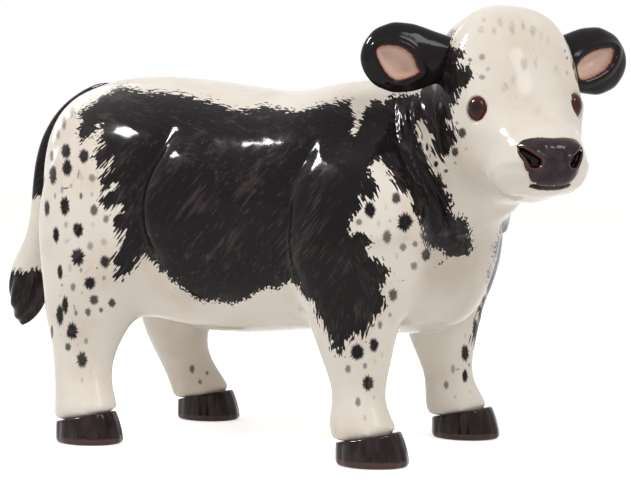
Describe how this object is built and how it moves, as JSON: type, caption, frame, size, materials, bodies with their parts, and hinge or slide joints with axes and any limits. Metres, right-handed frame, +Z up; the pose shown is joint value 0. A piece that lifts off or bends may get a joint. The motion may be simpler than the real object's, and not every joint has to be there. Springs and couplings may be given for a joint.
{
  "type": "cow figurine",
  "caption": "Hollow glazed ornament of a standing black and white calf with its head turned to one side, for a shelf or table.",
  "frame": {"origin": "middle of the bounding box, on the floor under the soles of the hooves", "axes": "+X from the tail to the head, +Y to the left side of the calf, +Z up"},
  "size_m": [0.2306, 0.0916, 0.1425],
  "materials": {
    "body_glaze": "gloss",
    "ear_glaze": "gloss",
    "hoof_glaze": "gloss",
    "nose_glaze": "gloss",
    "eye_glass": "gloss"
  },
  "bodies": {
    "root": {"torso_shell": "body_glaze", "head_shell": "body_glaze", "leg_front_right": "body_glaze", "leg_front_left": "body_glaze", "leg_rear_right": "body_glaze", "leg_rear_left": "body_glaze", "tail": "body_glaze", "ear_right": "ear_glaze", "ear_left": "ear_glaze", "hoof_front_right": "hoof_glaze", "hoof_front_left": "hoof_glaze", "hoof_rear_right": "hoof_glaze", "hoof_rear_left": "hoof_glaze", "nose_pad": "nose_glaze", "eye_right": "eye_glass", "eye_left": "eye_glass"}
  },
  "joints": []
}
